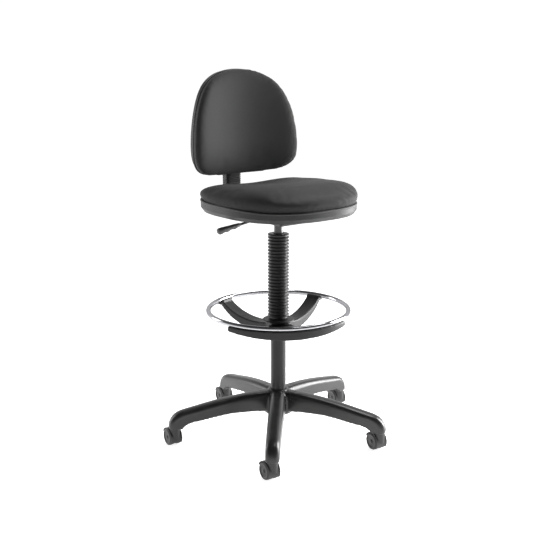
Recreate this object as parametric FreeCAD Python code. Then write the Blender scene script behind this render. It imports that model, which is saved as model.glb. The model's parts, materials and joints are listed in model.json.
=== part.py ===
"""Drafting chair: five-arm base on casters, gas lift, foot ring, round seat and a domed back.

Millimetres. The origin is on the floor, on the column's axis, and +Z is up.
The seat's front points along -Y, so the sitter's right hand is on the -X side.
"""
import FreeCAD, Part
import math
import os

V = FreeCAD.Vector
UP = V(0, 0, 1)
ORIGIN = V(0, 0, 0)

# ---------------------------------------------------------------- driving dimensions
# Star base
ARM_COUNT = 5
FIRST_ARM_ANGLE = 84.9          # direction of the rearmost arm, degrees from +X
CASTER_CIRCLE_RADIUS = 338.0    # column axis to caster stem
ARM_WIDTH_ROOT = 50.0
ARM_WIDTH_TIP = 42.0
ARM_TIP_OVERHANG = 19.0         # arm tip beyond the caster stem
ARM_HEEL_INSET = 24.0           # inner side of the tip, inside the caster stem
ARM_WALL = 4.0
HUB_TOP_Z = 160.0
HUB_BOTTOM_Z = 84.0
HUB_RADIUS = 47.0

# Casters
WHEEL_DIAMETER = 54.0
WHEEL_WIDTH = 15.0
WHEEL_GAP = 12.0                # between the two wheels of a caster
CASTER_TRAIL = 17.0
CASTER_HEADING = 84.0           # direction in which the wheels trail, degrees from +X
CASTER_NECK_GAP = 6.0           # top of the wheels to the underside of the arm
CASTER_NECK_RADIUS = 16.0
STEM_RADIUS = 5.5
STEM_LENGTH = 34.0
AXLE_RADIUS = 3.0

# Gas lift
COLUMN_DIAMETER = 48.0
COLUMN_WALL = 2.0
COLUMN_TOP_Z = 470.0
CYLINDER_DIAMETER = 28.0
CYLINDER_WALL = 2.0
ROD_DIAMETER = 10.0
BUSH_LENGTH = 70.0
BELLOWS_GAP = 3.5                # column to the roots of the folds, radial
BELLOWS_FOLD_DEPTH = 5.0
BELLOWS_SEAT_GAP = 2.0           # above the hub of the footrest
BELLOWS_TOP_Z = 667.0
BELLOWS_FOLDS = 25
RUNNING_CLEARANCE = 0.05        # radial, between a shaft and its bore

# Foot ring
RING_RADIUS = 220.0             # to the middle of the tube
RING_TUBE_DIAMETER = 16.0
RING_TUBE_WALL = 1.5
RING_Z = 423.0
RING_HUB_TOP_Z = 394.0
RING_HUB_HEIGHT = 46.0
RING_FLANGE_RADIUS = 50.0
RING_HUB_RADIUS = 38.0
SPIDER_FRONT_ANGLE = -118.0     # direction of the spider's front web, degrees from +X
SPIDER_ARM_SPREAD = 44.0        # each rear arm from the rearward direction
SPIDER_ARC_HALF_ANGLE = 51.0
SPIDER_ARM_WIDTH = 46.0

# Seat
SEAT_HALF_WIDTH = 207.0
SEAT_FRONT_REACH = 223.0        # column axis to the front of the shell's floor
SEAT_REAR_REACH = 220.0
SEAT_WIDEST_BACK = 11.0         # widest place, behind the middle of the length
SEAT_BULGE = 8.0                # the widest band beyond the shell's floor
SHELL_BOTTOM_Z = 738.0
SHELL_HEIGHT = 31.0
SHELL_WALL = 3.0
BOARD_THICKNESS = 12.0
CUSHION_HEIGHT = 60.0

# Seat mechanism and lever
HOUSING_LENGTH = 150.0
HOUSING_WIDTH = 100.0
HOUSING_DEPTH = 34.0
SHEET = 3.0
SEAT_BOLT_SPACING_X = 76.0
SEAT_BOLT_SPACING_Y = 120.0
BOLT_RADIUS = 4.0
LEVER_REACH = 228.0
LEVER_ROD_DIAMETER = 8.0
LEVER_DROOP = 8.5               # degrees below level
LEVER_PIVOT_X = -40.0
LEVER_PIVOT_Z = 727.0
ARMREST_BOLT_SPACING = 100.0
ARMREST_BOLT_OFFSET = 140.0

# Back
BAR_WIDTH = 46.0
BAR_THICKNESS = 8.0
BAR_Y = 246.0                   # middle of the upright part of the bar
BAR_TOP_Z = 1010.0
BAR_Z = 726.0                   # underside of the level part of the bar
BAR_CLEARANCE = 0.5
BOOT_WIDTH = 50.0
BOOT_DEPTH = 24.0
BOOT_BOTTOM_Z = 764.0
BACK_WIDTH = 378.0
BACK_BOTTOM_Z = 834.0
BACK_TOP_Z = 1158.0
BACK_FRONT_Y = 187.0            # front of the cushion on the centreline
BACK_CURVE_RADIUS = 400.0       # concave face, about a vertical axis
BACK_CUSHION_THICKNESS = 38.0
BACK_BOARD_THICKNESS = 8.0
BACK_SHELL_DEPTH = 13.0
SPINE_WIDTH = 92.0               # housing on the back shell, round the bar
SPINE_REAR_Y = 268.0
DEPTH_TRAVEL = 40.0              # of the back, towards the seat and away
SLEEVE_HOLD = 30.0               # length of bar held by the sleeve at the end of its travel

COLUMN_R = COLUMN_DIAMETER / 2
CYLINDER_R = CYLINDER_DIAMETER / 2
ROD_R = ROD_DIAMETER / 2
WHEEL_R = WHEEL_DIAMETER / 2
TUBE_R = RING_TUBE_DIAMETER / 2
CASTER_NECK_Z = WHEEL_DIAMETER + CASTER_NECK_GAP
BELLOWS_BOTTOM_Z = RING_HUB_TOP_Z + BELLOWS_SEAT_GAP


# ---------------------------------------------------------------- helpers
def cylinder(radius, height, base=ORIGIN, axis=UP):
    return Part.makeCylinder(radius, height, base, axis)


def ring(outer, inner, height, base=ORIGIN, axis=UP):
    return cylinder(outer, height, base, axis).cut(cylinder(inner, height, base, axis))


def block(size_x, size_y, size_z, centre_x=0.0, centre_y=0.0, bottom_z=0.0):
    return Part.makeBox(size_x, size_y, size_z, V(centre_x - size_x / 2, centre_y - size_y / 2, bottom_z))


def upright_edges(shape):
    """The straight edges of a shape that run up and down."""
    return [edge for edge in shape.Edges if abs(edge.tangentAt(edge.FirstParameter).z) > 0.9]


def turned(profile, centre=ORIGIN, axis=UP):
    """Solid of revolution about +Z from (radius, z) points, then aimed along axis at centre."""
    points = [V(r, 0, z) for r, z in profile]
    face = Part.Face(Part.makePolygon(points + points[:1]))
    solid = face.revolve(ORIGIN, UP, 360)
    solid.Placement = FreeCAD.Placement(centre, FreeCAD.Rotation(UP, axis)).multiply(solid.Placement)
    return solid


def spun(shape, degrees, centre=ORIGIN, axis=UP):
    copy = shape.copy()
    copy.rotate(centre, axis, degrees)
    return copy


def shifted(shape, x=0.0, y=0.0, z=0.0):
    copy = shape.copy()
    copy.translate(V(x, y, z))
    return copy


def polar(radius, degrees, z=0.0):
    angle = math.radians(degrees)
    return V(radius * math.cos(angle), radius * math.sin(angle), z)


def fused(shapes):
    body = shapes[0]
    for shape in shapes[1:]:
        body = body.fuse(shape)
    return body.removeSplitter()


def group(shapes):
    return Part.makeCompound(shapes)


def save(name, shape):
    if not shape.isValid():
        print("NOT VALID:", name)
    shape.exportStep("parts/%s.step" % name)
    print("%-20s solids %2d  volume %9.1f cm3" % (name, len(shape.Solids), shape.Volume / 1000))


# ---------------------------------------------------------------- star base
def arm_section(top, bottom, width, crown):
    """D-shaped outline across an arm: flat foot, straight sides and a rounded crown."""
    top = V(top[0], 0, top[1])
    bottom = V(bottom[0], 0, bottom[1])
    up = (top - bottom).normalize()
    side = V(0, width / 2, 0)
    inner = V(0, width / 2 - crown, 0)
    diagonal = crown * (1 - math.sqrt(0.5))
    corner = top - up * diagonal + V(0, width / 2 - diagonal, 0)
    mirrored = V(corner.x, -corner.y, corner.z)
    edges = [
        Part.makeLine(bottom - side, bottom + side),
        Part.makeLine(bottom + side, top - up * crown + side),
        Part.Arc(top - up * crown + side, corner, top + inner).toShape(),
        Part.makeLine(top + inner, top - inner),
        Part.Arc(top - inner, mirrored, top - up * crown - side).toShape(),
        Part.makeLine(top - up * crown - side, bottom - side),
    ]
    return Part.Wire(edges)


def star_arm():
    """One arm along +X, arched, drooping to an upright tip, open underneath."""
    tip = CASTER_CIRCLE_RADIUS + ARM_TIP_OVERHANG
    heel = CASTER_CIRCLE_RADIUS - ARM_HEEL_INSET
    top = HUB_TOP_Z
    neck = CASTER_NECK_Z
    stations = [
        ((20, top - 2), (20, top - 66), 0.0),
        ((0.33 * tip, top - 9), (0.31 * tip, neck + 38), 0.2),
        ((0.62 * tip, top - 25), (0.56 * tip, neck + 32), 0.5),
        ((0.84 * tip, top - 41), (0.75 * tip, neck + 21), 0.75),
        ((tip - 12, top - 62), (heel - 8, neck + 10), 0.95),
        ((tip - 2, neck + 20), (heel, neck + 3), 1.0),
        ((tip, neck), (heel, neck), 1.0),
    ]
    crown = 17.0
    outer = []
    for upper, lower, share in stations:
        width = ARM_WIDTH_ROOT + (ARM_WIDTH_TIP - ARM_WIDTH_ROOT) * share
        outer.append(arm_section(upper, lower, width, crown))
    arm = Part.makeLoft(outer, True, False)
    inner = []
    for upper, lower, share in stations[:4]:
        width = ARM_WIDTH_ROOT + (ARM_WIDTH_TIP - ARM_WIDTH_ROOT) * share - 2 * ARM_WALL
        start = max(upper[0], HUB_RADIUS + 8)
        roof = (start, upper[1] - ARM_WALL)
        inner.append(arm_section(roof, (start, lower[1] - 30), width, crown - ARM_WALL))
    hollow = Part.makeLoft(inner, True, False)
    rib_count = 3
    for number in range(rib_count):
        x = tip * (0.28 + 0.17 * number)
        hollow = hollow.cut(block(ARM_WALL, ARM_WIDTH_ROOT, 60, x, 0, top - 60 - 9 * number))
    return arm.cut(hollow)


def star_base():
    hub = turned([
        (0, HUB_BOTTOM_Z), (HUB_RADIUS - 2, HUB_BOTTOM_Z), (HUB_RADIUS, HUB_BOTTOM_Z + 4),
        (HUB_RADIUS, HUB_TOP_Z - 28), (HUB_RADIUS - 8, HUB_TOP_Z - 10),
        (COLUMN_R + 7, HUB_TOP_Z - 1), (COLUMN_R + 5, HUB_TOP_Z + 3), (0, HUB_TOP_Z + 3)])
    arm = star_arm()
    spacing = 360.0 / ARM_COUNT
    arms = [spun(arm, FIRST_ARM_ANGLE + spacing * number) for number in range(ARM_COUNT)]
    body = fused([hub] + arms)
    body = body.cut(cylinder(COLUMN_R, HUB_TOP_Z + 20))
    socket = cylinder(STEM_RADIUS + RUNNING_CLEARANCE, STEM_LENGTH + 2, V(0, 0, CASTER_NECK_Z - 1))
    for number in range(ARM_COUNT):
        place = polar(CASTER_CIRCLE_RADIUS, FIRST_ARM_ANGLE + spacing * number)
        body = body.cut(shifted(socket, place.x, place.y))
    return body


# ---------------------------------------------------------------- casters
def caster_pieces():
    """A caster with its stem on the Z axis and its wheels trailing along +X."""
    housing_gap = 0.5
    half_width = WHEEL_GAP / 2 + WHEEL_WIDTH
    axle_at = V(CASTER_TRAIL, 0, WHEEL_R)
    side = V(0, 1, 0)

    front = block(3 * WHEEL_R, 3 * half_width, 3 * WHEEL_R, CASTER_TRAIL - 1.5 * WHEEL_R, 0, 0.42 * WHEEL_R)
    rear = block(2 * WHEEL_R, 3 * half_width, WHEEL_R, CASTER_TRAIL, 0, 1.42 * WHEEL_R)
    covered = front.fuse(rear)
    web_thickness = WHEEL_GAP - 2 * housing_gap
    web_from = axle_at - side * (web_thickness / 2)
    web = cylinder(WHEEL_R + 2, web_thickness, web_from, side).common(covered)
    disc = cylinder(WHEEL_R - 6, web_thickness, web_from, side)
    hood_outer = cylinder(WHEEL_R + 3.4, 2 * half_width - 3, axle_at - side * (half_width - 1.5), side)
    hood_inner = cylinder(WHEEL_R + 0.9, 2 * half_width, axle_at - side * half_width, side)
    hood = hood_outer.cut(hood_inner).common(covered)
    neck = cylinder(CASTER_NECK_RADIUS, CASTER_NECK_Z - 0.4 - WHEEL_R, V(0, 0, WHEEL_R))
    for sign in (-1, 1):
        start = axle_at + side * (sign * (web_thickness / 2))
        neck = neck.cut(cylinder(WHEEL_R + 0.9, WHEEL_WIDTH + 5, start, side * sign))
    housing = fused([web, disc, hood, neck])
    housing = housing.cut(cylinder(AXLE_RADIUS, 60, axle_at - side * 30, side))
    housing = housing.cut(cylinder(STEM_RADIUS, STEM_LENGTH, V(0, 0, CASTER_NECK_Z - 12)))

    stem = cylinder(STEM_RADIUS, STEM_LENGTH + 12, V(0, 0, CASTER_NECK_Z - 12))
    stem = stem.cut(ring(STEM_RADIUS + 1, STEM_RADIUS - 1, 3, V(0, 0, CASTER_NECK_Z + STEM_LENGTH - 9)))

    axle = cylinder(AXLE_RADIUS, 2 * half_width - 2, axle_at - side * (half_width - 1), side)

    wheel = turned([
        (AXLE_RADIUS + RUNNING_CLEARANCE, 0), (WHEEL_R - 2.5, 0), (WHEEL_R, 2.0),
        (WHEEL_R, WHEEL_WIDTH - 5), (WHEEL_R - 1.6, WHEEL_WIDTH - 1.6), (WHEEL_R - 5, WHEEL_WIDTH),
        (WHEEL_R - 8, WHEEL_WIDTH - 0.6), (WHEEL_R - 10, WHEEL_WIDTH - 2.2),
        (AXLE_RADIUS + 4, WHEEL_WIDTH - 2.2), (AXLE_RADIUS + RUNNING_CLEARANCE, WHEEL_WIDTH - 2.2)])
    left = wheel.copy()
    left.Placement = FreeCAD.Placement(axle_at + side * (WHEEL_GAP / 2), FreeCAD.Rotation(UP, side))
    right = wheel.copy()
    right.Placement = FreeCAD.Placement(axle_at - side * (WHEEL_GAP / 2), FreeCAD.Rotation(UP, -side))
    return {"stem": stem, "housing": housing, "axle": axle, "wheel_left": left, "wheel_right": right}


# ---------------------------------------------------------------- gas lift
def bellows():
    """Corrugated cover: a cuff on the column, even folds and a cuff round the cylinder."""
    root = COLUMN_R + BELLOWS_GAP
    outer = root + BELLOWS_FOLD_DEPTH
    wall = 1.0
    cuff = 7.0
    pitch = (BELLOWS_TOP_Z - BELLOWS_BOTTOM_Z - 2 * cuff) / BELLOWS_FOLDS
    outside = [(root, BELLOWS_BOTTOM_Z), (root, BELLOWS_BOTTOM_Z + cuff)]
    for fold in range(BELLOWS_FOLDS):
        z = BELLOWS_BOTTOM_Z + cuff + fold * pitch
        outside += [(outer, z + 0.5 * pitch), (root, z + pitch)]
    outside.append((root, BELLOWS_TOP_Z))
    top_hole = CYLINDER_R + 0.5
    lid_z = BELLOWS_TOP_Z - 1.5
    lid = [(top_hole, BELLOWS_TOP_Z), (top_hole, lid_z), (root - wall, lid_z)]
    inside = [(r - wall, z) for r, z in reversed(outside[2:-1])]
    cuff_z = BELLOWS_BOTTOM_Z + cuff
    grip = [(root - wall, cuff_z), (COLUMN_R, cuff_z - 1), (COLUMN_R, BELLOWS_BOTTOM_Z)]
    return turned(outside + lid + inside + grip)


def gas_lift():
    floor_z = HUB_BOTTOM_Z - 8
    bore = COLUMN_R - COLUMN_WALL
    tube = ring(COLUMN_R, bore, COLUMN_TOP_Z - floor_z, V(0, 0, floor_z))
    tube = tube.fuse(ring(bore, ROD_R + 1.0, 3, V(0, 0, floor_z))).removeSplitter()
    bush = ring(bore, CYLINDER_R + RUNNING_CLEARANCE, BUSH_LENGTH, V(0, 0, COLUMN_TOP_Z - BUSH_LENGTH))
    flange = ring(COLUMN_R, CYLINDER_R + RUNNING_CLEARANCE, 3, V(0, 0, COLUMN_TOP_Z))
    bush = bush.fuse(flange).removeSplitter()

    race_z = floor_z + 3
    lower_race = ring(12, ROD_R + 0.6, 2.5, V(0, 0, race_z))
    ball_radius = 2.0
    balls = []
    ball_count = 10
    for number in range(ball_count):
        centre = polar(9.0, 360.0 * number / ball_count, race_z + 2.5 + ball_radius)
        balls.append(Part.makeSphere(ball_radius, centre))
    collar_z = race_z + 2.5 + 2 * ball_radius + 0.3

    cylinder_bottom = COLUMN_TOP_Z - BUSH_LENGTH - 12
    piston_z = cylinder_bottom + 6
    clip_z = floor_z - 5
    rod = cylinder(ROD_R, piston_z + 12 - clip_z + 3, V(0, 0, clip_z - 3))
    rod = rod.fuse(ring(12, ROD_R, 3, V(0, 0, collar_z))).removeSplitter()
    clip = ring(9, ROD_R, 1.6, V(0, 0, clip_z)).cut(block(ROD_R, 20, 4, ROD_R + 4, 0, clip_z - 1))
    rod_seal = ring(CYLINDER_R - CYLINDER_WALL - 0.3, ROD_R, 8, V(0, 0, piston_z + 2))

    top_z = LEVER_PIVOT_Z - 7
    body = cylinder(CYLINDER_R, top_z - cylinder_bottom, V(0, 0, cylinder_bottom))
    inner = cylinder(CYLINDER_R - CYLINDER_WALL, top_z - cylinder_bottom - 26, V(0, 0, cylinder_bottom + 4))
    body = body.cut(inner).cut(cylinder(ROD_R + RUNNING_CLEARANCE, 10, V(0, 0, cylinder_bottom - 1)))
    pin_radius = 4.0
    body = body.cut(cylinder(pin_radius + RUNNING_CLEARANCE, 30, V(0, 0, top_z - 23)))
    pin = cylinder(pin_radius, 20, V(0, 0, LEVER_PIVOT_Z - 20))
    return {"stand_tube": tube, "guide_bush": bush, "thrust_bearing": group([lower_race] + balls),
            "piston_rod": rod, "retaining_clip": clip, "piston": rod_seal, "gas_cylinder": body,
            "valve_pin": pin}


# ---------------------------------------------------------------- foot ring
def foot_ring():
    outside = Part.makeTorus(RING_RADIUS, TUBE_R, V(0, 0, RING_Z), UP)
    inside = Part.makeTorus(RING_RADIUS, TUBE_R - RING_TUBE_WALL, V(0, 0, RING_Z), UP)
    return outside.cut(inside)


def strap(profile, width):
    """Solid from an (x, z) outline, centred on y = 0, width wide."""
    points = [V(x, -width / 2, z) for x, z in profile]
    face = Part.Face(Part.makePolygon(points + points[:1]))
    return face.extrude(V(0, width, 0))


def curved_strap(top, bottom, width):
    """Solid between two smooth curves given as (x, z) points, centred on y = 0."""
    def curve(points):
        spline = Part.BSplineCurve()
        spline.interpolate([V(x, -width / 2, z) for x, z in points])
        return spline.toShape()
    first, last = top[0], top[-1]
    edges = [curve(top),
             Part.makeLine(V(last[0], -width / 2, last[1]), V(bottom[0][0], -width / 2, bottom[0][1])),
             curve(bottom),
             Part.makeLine(V(bottom[-1][0], -width / 2, bottom[-1][1]), V(first[0], -width / 2, first[1]))]
    return Part.Face(Part.Wire(edges)).extrude(V(0, width, 0))


def ring_spider():
    """Moulded spider: hub, two rear arms with saddles, front web and the arc under the ring."""
    collet_r = COLUMN_R + 3.0
    hub_bottom = RING_HUB_TOP_Z - RING_HUB_HEIGHT
    hub = turned([
        (0, hub_bottom), (RING_HUB_RADIUS - 6, hub_bottom), (RING_HUB_RADIUS - 4, hub_bottom + 18),
        (RING_HUB_RADIUS, hub_bottom + 22), (RING_HUB_RADIUS, RING_HUB_TOP_Z - 8),
        (RING_FLANGE_RADIUS, RING_HUB_TOP_Z - 6), (RING_FLANGE_RADIUS, RING_HUB_TOP_Z - 1.5),
        (RING_FLANGE_RADIUS - 1.5, RING_HUB_TOP_Z), (0, RING_HUB_TOP_Z)])
    saddle_floor = RING_Z - TUBE_R - 5
    reach = RING_RADIUS + TUBE_R + 6
    inner = RING_RADIUS - TUBE_R - 10

    hub_top = RING_HUB_TOP_Z
    top = [(30, hub_top - 14), (90, hub_top - 18), (150, hub_top - 6), (inner, RING_Z - 6)]
    bottom = [(inner + 14, saddle_floor), (150, hub_top - 32), (90, hub_bottom - 2), (30, hub_bottom + 1)]
    arm = curved_strap(top, bottom, SPIDER_ARM_WIDTH)
    lip_z = RING_Z + 0.35 * TUBE_R
    clip = strap([(inner - 1, RING_Z - 8), (inner + 2, lip_z - 2), (inner + 5, lip_z), (reach - 4, lip_z),
                  (reach, lip_z - 4), (reach, saddle_floor + 4), (reach - 4, saddle_floor),
                  (inner + 14, saddle_floor)], SPIDER_ARM_WIDTH)
    rear_arm = fused([arm, clip])
    rear = SPIDER_FRONT_ANGLE + 180

    arc_top = RING_Z - TUBE_R + 3
    arc_bottom = RING_HUB_TOP_Z - 3
    arc = ring(RING_RADIUS + 12, RING_RADIUS - 14, arc_top - arc_bottom, V(0, 0, arc_bottom))
    outline = [V(0, 0, arc_bottom - 40)]
    steps = 8
    for step in range(steps + 1):
        turn = -SPIDER_ARC_HALF_ANGLE + 2 * SPIDER_ARC_HALF_ANGLE * step / steps
        outline.append(polar(2 * RING_RADIUS, turn, arc_bottom - 40))
    wedge = Part.Face(Part.makePolygon(outline + outline[:1])).extrude(V(0, 0, 160))
    arc = arc.common(wedge)
    end_rise = 11.0
    half_chord = RING_RADIUS * math.sin(math.radians(SPIDER_ARC_HALF_ANGLE))
    sweep = half_chord ** 2 / (2 * end_rise)
    arc = arc.common(cylinder(sweep, 2 * RING_RADIUS, V(0, 0, arc_bottom + sweep), V(1, 0, 0)))

    web_half = 34.0
    web_wide = RING_RADIUS * 0.42
    edge = RING_RADIUS - 8
    plan = [V(20, -web_half, arc_bottom - 60), V(edge, -web_wide, arc_bottom - 60),
            V(edge, web_wide, arc_bottom - 60), V(20, web_half, arc_bottom - 60)]
    web_plan = Part.Face(Part.makePolygon(plan + plan[:1])).extrude(V(0, 0, 140))
    web_top = [(30, hub_top - 12), (100, hub_top - 10), (170, hub_top + 4), (edge, arc_top - 4)]
    web_bottom = [(edge, arc_bottom + 3), (170, hub_top - 10), (100, hub_top - 24), (30, hub_bottom + 6)]
    web = curved_strap(web_top, web_bottom, 3 * web_wide).common(web_plan)

    front = spun(fused([arc, web]), SPIDER_FRONT_ANGLE)
    arms = [spun(rear_arm, rear + side * SPIDER_ARM_SPREAD) for side in (-1, 1)]
    body = fused([hub, front] + arms)
    groove = Part.makeTorus(RING_RADIUS, TUBE_R, V(0, 0, RING_Z), UP)
    body = body.cut(groove)
    body = body.cut(cylinder(collet_r + RUNNING_CLEARANCE, 3 * RING_HUB_HEIGHT, V(0, 0, hub_bottom - 10)))
    screw_z = hub_bottom + RING_HUB_HEIGHT / 2
    body = body.cut(cylinder(4 + RUNNING_CLEARANCE, 80, V(0, 0, screw_z), polar(1, rear)))
    return body


def ring_clips():
    """Caps under the saddles and their screws, two of each."""
    rear = SPIDER_FRONT_ANGLE + 180
    saddle_floor = RING_Z - TUBE_R - 5
    cap_at = RING_RADIUS + 6
    cap_thickness = 3.0
    cap = block(15, SPIDER_ARM_WIDTH - 6, cap_thickness, cap_at, 0, saddle_floor - cap_thickness)
    cap = cap.makeFillet(2.5, upright_edges(cap))
    screws = []
    caps = []
    offset = 11.0
    for turn in (rear - SPIDER_ARM_SPREAD, rear + SPIDER_ARM_SPREAD):
        caps.append(spun(cap, turn))
        for side in (-1, 1):
            head = turned([(0, 0), (3.2, 0), (3.6, 1.2), (3.2, 2.4), (0, 2.4)],
                          V(cap_at, side * offset, saddle_floor - cap_thickness - 2.4))
            screws.append(spun(head, turn))
    return {"ring_clip_caps": group(caps), "ring_clip_screws": group(screws)}


def ring_clamp():
    """Split collet that slides on the column, and the knob whose screw grips it."""
    hub_bottom = RING_HUB_TOP_Z - RING_HUB_HEIGHT
    rear = SPIDER_FRONT_ANGLE + 180
    wall_r = COLUMN_R + 3.0
    collet = ring(wall_r, COLUMN_R + RUNNING_CLEARANCE, RING_HUB_HEIGHT + 4, V(0, 0, hub_bottom - 4))
    lip = ring(wall_r + 3, COLUMN_R + RUNNING_CLEARANCE, 3.7, V(0, 0, hub_bottom - 4))
    collet = collet.fuse(lip).removeSplitter()
    slit = block(20, 2, RING_HUB_HEIGHT + 20, wall_r, 0, hub_bottom - 10)
    collet = collet.cut(spun(slit, rear + 180))
    screw_z = hub_bottom + RING_HUB_HEIGHT / 2
    direction = polar(1, rear)
    start = wall_r + 0.3
    grip_start = RING_HUB_RADIUS + 22
    screw = cylinder(4, grip_start + 4 - start, direction * start + V(0, 0, screw_z), direction)
    grip = turned([(0, 0), (7, 0), (8, 4), (13, 7), (14, 9), (14, 17), (12.5, 19), (0, 20)],
                  direction * grip_start + V(0, 0, screw_z), direction)
    lobes = 6
    for number in range(lobes):
        groove = cylinder(2.5, 30, V(15.2, 0, 0))
        groove = spun(groove, 360.0 * number / lobes)
        groove.Placement = FreeCAD.Placement(direction * (grip_start + 5) + V(0, 0, screw_z),
                                             FreeCAD.Rotation(UP, direction)).multiply(groove.Placement)
        grip = grip.cut(groove)
    return {"ring_collet": collet, "ring_clamp_knob": fused([screw, grip])}


# ---------------------------------------------------------------- seat
def seat_outline(grow, z):
    """Closed smooth outline of the seat, grown outwards by grow, at height z."""
    middle = (SEAT_REAR_REACH - SEAT_FRONT_REACH) / 2 + SEAT_WIDEST_BACK
    front = SEAT_FRONT_REACH + middle + grow
    rear = SEAT_REAR_REACH - middle + grow
    half_width = SEAT_HALF_WIDTH + grow
    points = []
    count = 48
    for number in range(count):
        angle = 2 * math.pi * number / count
        c, s = math.cos(angle), math.sin(angle)
        power = 2 / 2.6
        x = half_width * math.copysign(abs(c) ** power, c)
        y = (rear if s > 0 else front) * math.copysign(abs(s) ** power, s)
        points.append(V(x, y + middle, z))
    curve = Part.BSplineCurve()
    curve.interpolate(points, PeriodicFlag=True)
    return Part.Wire(curve.toShape())


def seat_slab(levels):
    """Solid through seat outlines given as (height, grow) pairs, with straight sides between."""
    return Part.makeLoft([seat_outline(grow, z) for z, grow in levels], True, True)


def seat_pieces():
    bottom = SHELL_BOTTOM_Z
    rim = bottom + SHELL_HEIGHT
    board_z = rim - BOARD_THICKNESS
    outside = seat_slab([(bottom, 0), (bottom + 12, SEAT_BULGE), (rim, SEAT_BULGE)])
    inside = seat_slab([(bottom + SHELL_WALL, -SHELL_WALL), (bottom + 12, SEAT_BULGE - SHELL_WALL),
                        (rim + 1, SEAT_BULGE - SHELL_WALL)])
    shell = outside.cut(inside)
    corners = [(x * SEAT_BOLT_SPACING_X / 2, y * SEAT_BOLT_SPACING_Y / 2) for x in (-1, 1) for y in (-1, 1)]
    armrests = [(x * ARMREST_BOLT_OFFSET, y * ARMREST_BOLT_SPACING / 2) for x in (-1, 1) for y in (-1, 1)]
    boss_height = board_z - bottom
    for x, y in corners + armrests:
        shell = shell.fuse(cylinder(12, boss_height, V(x, y, bottom)))
    shell = shell.removeSplitter()
    for x, y in corners:
        shell = shell.cut(cylinder(BOLT_RADIUS, boss_height + 2, V(x, y, bottom - 1)))
    for x, y in armrests:
        shell = shell.cut(cylinder(3.3, boss_height + 2, V(x, y, bottom - 1)))

    board = seat_slab([(board_z, SEAT_BULGE - SHELL_WALL - 1), (rim, SEAT_BULGE - SHELL_WALL - 1)])
    bolts = []
    nuts = []
    head_z = bottom - SHEET
    for x, y in corners:
        head = Part.makeCylinder(6.5, 4, V(x, y, head_z - 4), UP)
        bolts.append(head.fuse(cylinder(BOLT_RADIUS, rim - 2 - head_z, V(x, y, head_z))).removeSplitter())
        nuts.append(ring(5.2, BOLT_RADIUS, BOARD_THICKNESS - 2, V(x, y, board_z)).fuse(
            ring(11, BOLT_RADIUS, 2, V(x, y, rim - 2))).removeSplitter())
        board = board.cut(cylinder(5.2, BOARD_THICKNESS + 2, V(x, y, board_z - 1)))
        board = board.cut(cylinder(11, 3, V(x, y, rim - 2)))
    for x, y in armrests:
        board = board.cut(cylinder(3.3, BOARD_THICKNESS + 2, V(x, y, board_z - 1)))

    top = rim + CUSHION_HEIGHT
    cushion = seat_slab([(rim, SEAT_BULGE - 1), (rim + 0.4 * CUSHION_HEIGHT, SEAT_BULGE),
                         (rim + 0.72 * CUSHION_HEIGHT, SEAT_BULGE - 14), (top - 4, SEAT_BULGE - 48),
                         (top, -80)])
    return {"seat_shell": shell, "seat_board": board, "seat_cushion": cushion,
            "seat_bolts": group(bolts), "seat_nuts": group(nuts)}


# ---------------------------------------------------------------- seat mechanism
def mechanism():
    top = SHELL_BOTTOM_Z
    bottom = top - HOUSING_DEPTH
    wide = HOUSING_WIDTH
    long = HOUSING_LENGTH
    housing = block(wide, long, HOUSING_DEPTH, 0, 0, bottom)
    housing = housing.makeFillet(6, upright_edges(housing))
    inner = block(wide - 2 * SHEET, long - 2 * SHEET, HOUSING_DEPTH - 2 * SHEET, 0, 0, bottom + SHEET)
    housing = housing.cut(inner)
    housing = housing.cut(cylinder(CYLINDER_R + 4, 2 * SHEET, V(0, 0, bottom - 1)))
    for x in (-1, 1):
        for y in (-1, 1):
            spot = V(x * SEAT_BOLT_SPACING_X / 2, y * SEAT_BOLT_SPACING_Y / 2, bottom - 1)
            housing = housing.cut(cylinder(8.0, HOUSING_DEPTH - SHEET + 1, spot))
            housing = housing.cut(cylinder(BOLT_RADIUS, HOUSING_DEPTH + 2, spot))
    slot_height = 20.0
    slot = block(2 * SHEET + 2, LEVER_ROD_DIAMETER + 6, slot_height, -wide / 2 + SHEET / 2, 0,
                 LEVER_PIVOT_Z - slot_height + 6)
    housing = housing.cut(slot)

    socket_bottom = bottom - 10
    socket_top = top - SHEET - 22
    socket = turned([(CYLINDER_R, socket_bottom), (CYLINDER_R + 3, socket_bottom),
                     (CYLINDER_R + 4, bottom), (CYLINDER_R + 4, socket_top), (CYLINDER_R, socket_top)])

    pivot_axis = V(0, 1, 0)
    pivot = cylinder(2.5, 30, V(LEVER_PIVOT_X, -15, LEVER_PIVOT_Z), pivot_axis)
    ears = []
    for side in (-1, 1):
        ear = block(12, 3, 14, LEVER_PIVOT_X, side * 12, top - SHEET - 14)
        ears.append(ear)
    housing = fused([housing] + ears).cut(pivot)
    return {"mechanism_housing": housing, "taper_socket": socket, "lever_pivot_pin": pivot}


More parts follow.
